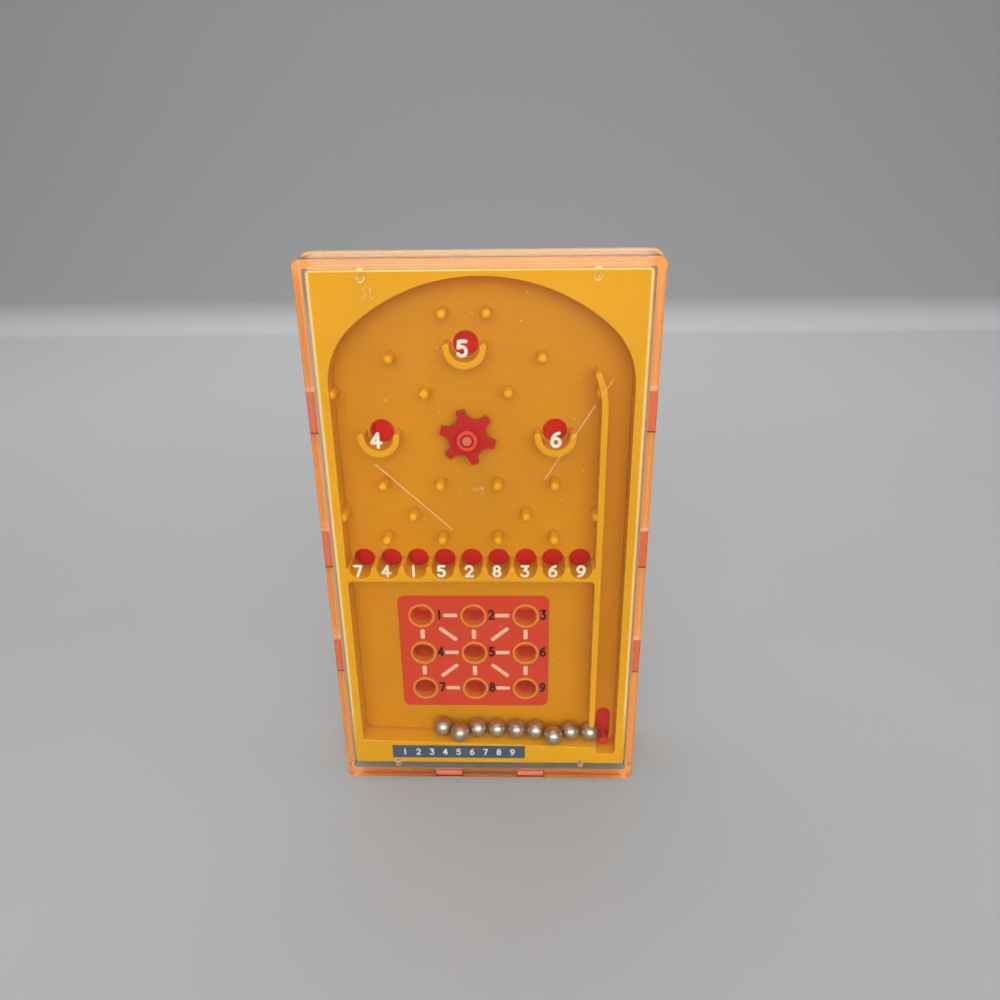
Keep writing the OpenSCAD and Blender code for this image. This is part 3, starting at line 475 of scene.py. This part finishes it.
bm = bmesh.new()
for row, z in enumerate(WINDOW_Z):
    for column, x in enumerate(WINDOW_X):
        add_figure(bm, str(3 * row + column + 1), x + 4.15, z + 0.2, 2.3, 0.29, PRINT_T, bar_y, 0.75)
finish_piece(bm, "panel_figures", BLACK_INK, "root")

# The strip carries a plain row of figures
bm = bmesh.new()
strip_x = (STRIP_LOW.x + STRIP_HIGH.x) / 2
strip_z = (STRIP_LOW.z + STRIP_HIGH.z) / 2
for k in range(9):
    x = strip_x + (k - 4) * 3.3
    add_figure(bm, str(k + 1), x, strip_z, 1.6, 0.17, PRINT_T, STRIP_LOW.y - PRINT_LIFT, 0.9)
finish_piece(bm, "strip_figures", WHITE_INK, "root")

# Scratches and specks in the window's front face
MARK_T = 0.03
bm = bmesh.new()
rng = random.Random(7)


def scratch(x0, z0, x1, z1, radius, breaks):
    """A scratch in short runs that wander a little and vary in width. breaks are the runs left out."""
    n = 12
    points = []
    for k in range(n + 1):
        x = x0 + (x1 - x0) * k / n + rng.uniform(-0.05, 0.05)
        z = z0 + (z1 - z0) * k / n + rng.uniform(-0.05, 0.05)
        points.append((x, z))
    for k in range(n):
        if k not in breaks:
            add_stroke(bm, points[k:k + 2], radius * rng.uniform(0.6, 1.1), MARK_T, FRONT_Y, 6)


scratch(-22.0, 82.8, -6.7, 68.0, 0.10, ())
scratch(26.0, 100.3, 12.8, 79.5, 0.075, (2, 7, 8))
for k in range(9):
    x, z = -1.5 + rng.uniform(-1.3, 1.3), 76.8 + rng.uniform(-0.8, 0.8)
    scratch(x, z, x + rng.uniform(0.5, 1.0), z + rng.uniform(0.2, 0.6), 0.035, (3, 8))
for k in range(8):
    x, z = -21.0 + rng.uniform(-1.0, 1.0), 116.3 + rng.uniform(-1.2, 1.2)
    scratch(x, z, x + rng.uniform(0.3, 0.8), z + rng.uniform(0.4, 1.0), 0.04, (4, 9))
for k in range(26):
    x, z = rng.uniform(-30, 30), rng.uniform(8, 118)
    end = (x + rng.uniform(-0.25, 0.25), z + rng.uniform(0.05, 0.3))
    add_stroke(bm, [(x, z), end], 0.05, MARK_T, FRONT_Y, 6)
SCRATCH_MARK = printed("scratched_plastic", srgb(250, 232, 200), srgb(240, 214, 170), 0.5, 0.2)
finish_piece(bm, "window_scratches", SCRATCH_MARK, "root")


# The table's sheet is a hair under the game's foot and turns up behind in a small round
def sheet(name, profile, mat):
    """A wide strip along X with this profile in Y and Z."""
    bm = bmesh.new()
    rows = [[bm.verts.new((x, y, z)) for y, z in profile] for x in (-2.0, 2.0)]
    for k in range(len(profile) - 1):
        bm.faces.new((rows[0][k], rows[1][k], rows[1][k + 1], rows[0][k + 1]))
    mesh = bpy.data.meshes.new(name)
    bm.to_mesh(mesh)
    bm.free()
    mesh.polygons.foreach_set("use_smooth", [True] * len(mesh.polygons))
    mesh.materials.append(mat)
    piece = bpy.data.objects.new(name, mesh)
    bpy.context.scene.collection.objects.link(piece)


COVE_R = 0.03
WALL_Y = 0.60
FLOOR_Z = -0.0001
profile = [(-2.0, FLOOR_Z), (WALL_Y - COVE_R, FLOOR_Z)]
for k in range(1, 9):
    turn = math.radians(90 * k / 8)
    profile.append((WALL_Y - COVE_R + COVE_R * math.sin(turn), FLOOR_Z + COVE_R * (1 - math.cos(turn))))
profile.append((WALL_Y, 1.6))
# The far tone is painted light; the two wall tones are painted shade.
sheet("floor", profile, ground("pale_table", srgb(188, 188, 187), srgb(183, 183, 182), srgb(216, 217, 218),
                               srgb(172, 173, 174), srgb(152, 153, 155)))


def area_light(name, place, aim, size, power):
    data = bpy.data.lights.new(name, "AREA")
    data.shape = "RECTANGLE"
    data.size, data.size_y = size
    data.energy = power
    lamp = bpy.data.objects.new(name, data)
    bpy.context.scene.collection.objects.link(lamp)
    lamp.location = place
    lamp.rotation_euler = (Vector(aim) - Vector(place)).to_track_quat("-Z", "Y").to_euler()


area_light("soft_top", (-0.05, 0.12, 0.80), (0.0, 0.0, 0.05), (0.9, 0.9), 4.0)
area_light("soft_front", (0.10, -0.90, 0.42), (0.0, 0.0, 0.06), (1.2, 0.5), 5.5)

world = bpy.data.worlds.new("studio")
bpy.context.scene.world = world
world.use_nodes = True
sky = world.node_tree.nodes["Background"]
sky.inputs["Color"].default_value = (0.80, 0.82, 0.85, 1.0)
sky.inputs["Strength"].default_value = 0.36

camera_data = bpy.data.cameras.new("photo_camera")
camera_data.lens = 27.36
camera_data.sensor_width = 36.0
camera_data.clip_start = 0.01
camera = bpy.data.objects.new("photo_camera", camera_data)
bpy.context.scene.collection.objects.link(camera)
camera.location = (0.00782, -0.15588, 0.13653)
camera.rotation_euler = tuple(math.radians(a) for a in (67.1134, 0.6623, 1.4056))
bpy.context.scene.camera = camera
bpy.context.scene.view_settings.view_transform = "Standard"
